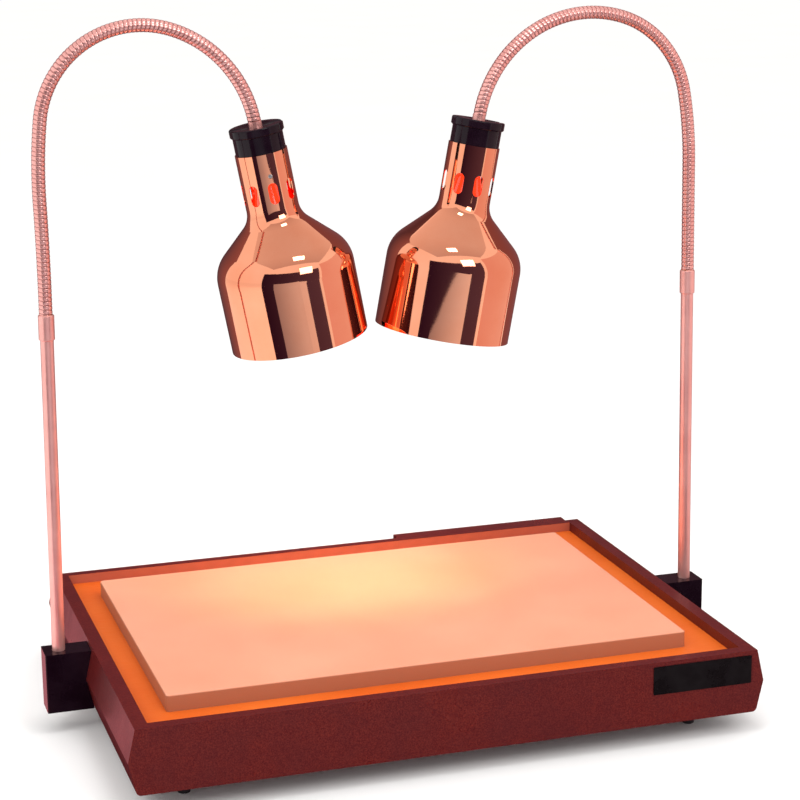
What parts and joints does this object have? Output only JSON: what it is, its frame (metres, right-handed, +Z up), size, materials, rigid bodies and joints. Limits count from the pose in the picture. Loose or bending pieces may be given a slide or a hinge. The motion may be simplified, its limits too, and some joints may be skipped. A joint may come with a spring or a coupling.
{
  "type": "heat lamp carving warmer",
  "caption": "Heated carving base with a loose cutting board, a rear control box and copper bell heat lamps on gooseneck arms.",
  "frame": {"origin": "on the counter under the middle of the whole outline, between the nameplate's face and the knob's face", "axes": "+X to the user's right, +Y to the back where the controls are, +Z up"},
  "size_m": [0.824, 0.5914, 0.8097],
  "materials": {
    "maroon_paint": "gloss hammer paint, brown maroon",
    "tray_enamel": "satin orange copper",
    "shade_copper": "polished copper, mirror bright",
    "arm_copper": "satin polished copper",
    "black_moulding": "gloss black moulding",
    "black_plastic": "satin black",
    "board_plastic": "matt cream cutting board",
    "zinc_steel": "zinc plated",
    "silicone": "matt silicone",
    "foot_rubber": "matt black rubber",
    "fibre": "loose mineral fibre",
    "porcelain": "glazed white",
    "bright_brass": "bright",
    "base_aluminium": "bright pressed",
    "ruby_glass": "ruby coated reflector bulb",
    "lens_red": "clear red lens",
    "rocker_red": "gloss red"
  },
  "bodies": {
    "base": {"front_panel": "maroon_paint", "back_panel": "maroon_paint", "left_side_panel": "maroon_paint", "right_side_panel": "maroon_paint", "heated_tray": "tray_enamel", "heating_blanket": "silicone", "insulation": "fibre", "bottom_pan": "zinc_steel", "pan_screws": "zinc_steel", "feet": "foot_rubber", "foot_screws": "zinc_steel", "nameplate": "black_plastic", "left_bracket": "black_moulding", "right_bracket": "black_moulding", "bracket_screws": "zinc_steel", "left_post": "arm_copper", "right_post": "arm_copper", "left_collar": "arm_copper", "right_collar": "arm_copper", "collar_set_screws": "zinc_steel", "control_box": "maroon_paint", "control_cover": "maroon_paint", "cover_screws": "zinc_steel", "thermostat": "zinc_steel", "pilot_light": "lens_red", "power_inlet": "black_plastic", "inlet_pins": "bright_brass", "terminal_block": "porcelain", "lamp_switch_body": "black_plastic", "heat_switch_body": "black_plastic"},
    "board": {"cutting_board": "board_plastic"},
    "lamp_rocker": {"lamp_switch_rocker": "rocker_red"},
    "heat_rocker": {"heat_switch_rocker": "rocker_red"},
    "knob": {"thermostat_knob": "black_moulding"},
    "left_arm": {"left_neck_ferrule": "bright_brass", "left_neck_riser": "arm_copper", "left_neck_crown": "arm_copper"},
    "left_reach": {"left_neck_drop": "arm_copper", "left_neck_tip": "arm_copper"},
    "left_head": {"left_lamp_nipple": "arm_copper", "left_cap": "black_moulding", "left_lamp_socket": "porcelain", "left_socket_shell": "bright_brass", "left_shade": "shade_copper", "left_shade_screw": "zinc_steel"},
    "left_bulb": {"left_bulb_glass": "ruby_glass", "left_bulb_base": "base_aluminium"},
    "right_arm": {"right_neck_ferrule": "bright_brass", "right_neck_riser": "arm_copper", "right_neck_crown": "arm_copper"},
    "right_reach": {"right_neck_drop": "arm_copper", "right_neck_tip": "arm_copper"},
    "right_head": {"right_lamp_nipple": "arm_copper", "right_cap": "black_moulding", "right_lamp_socket": "porcelain", "right_socket_shell": "bright_brass", "right_shade": "shade_copper", "right_shade_screw": "zinc_steel"},
    "right_bulb": {"right_bulb_glass": "ruby_glass", "right_bulb_base": "base_aluminium"}
  },
  "joints": [
    {"name": "board_lift", "type": "slide", "parent": "base", "child": "board", "axis": [0, 0, 1], "range_m": [0, 0.06]},
    {"name": "left_arm_swing", "type": "hinge", "parent": "base", "child": "left_arm", "pos_m": [-0.38929, -0.02125, 0.48137], "axis": [0.0122, 0, 0.9999], "range_deg": [-60, 60]},
    {"name": "left_neck_curl", "type": "hinge", "parent": "left_arm", "child": "left_reach", "pos_m": [-0.27639, -0.02125, 0.80205], "axis": [0, 1, 0], "range_deg": [0, 25], "deforming": ["left_neck_crown"]},
    {"name": "left_lamp_tilt", "type": "hinge", "parent": "left_reach", "child": "left_head", "pos_m": [-0.15209, -0.02125, 0.71414], "axis": [0.9391, 0, 0.3437], "range_deg": [-20, 20], "deforming": ["left_neck_tip"]},
    {"name": "left_bulb_out", "type": "slide", "parent": "left_head", "child": "left_bulb", "axis": [0.184, 0, -0.9829], "range_m": [0, 0.22]},
    {"name": "right_arm_swing", "type": "hinge", "parent": "base", "child": "right_arm", "pos_m": [0.38929, -0.02125, 0.48137], "axis": [-0.0122, 0, 0.9999], "range_deg": [-60, 60]},
    {"name": "right_neck_curl", "type": "hinge", "parent": "right_arm", "child": "right_reach", "pos_m": [0.25196, -0.02125, 0.80094], "axis": [0, -1, 0], "range_deg": [0, 25], "deforming": ["right_neck_crown"]},
    {"name": "right_lamp_tilt", "type": "hinge", "parent": "right_reach", "child": "right_head", "pos_m": [0.12724, -0.02125, 0.71], "axis": [0.9385, 0, -0.3453], "range_deg": [-20, 20], "deforming": ["right_neck_tip"]},
    {"name": "right_bulb_out", "type": "slide", "parent": "right_head", "child": "right_bulb", "axis": [-0.1857, 0, -0.9826], "range_m": [0, 0.22]},
    {"name": "lamp_switch_rock", "type": "hinge", "parent": "base", "child": "lamp_rocker", "pos_m": [0.175, 0.27425, 0.0605], "axis": [-1, 0, 0], "range_deg": [0, 20]},
    {"name": "heat_switch_rock", "type": "hinge", "parent": "base", "child": "heat_rocker", "pos_m": [0.212, 0.27425, 0.0605], "axis": [-1, 0, 0], "range_deg": [0, 20]},
    {"name": "thermostat_turn", "type": "hinge", "parent": "base", "child": "knob", "pos_m": [0.3, 0.28325, 0.0605], "axis": [0, -1, 0], "range_deg": [0, 270]}
  ]
}
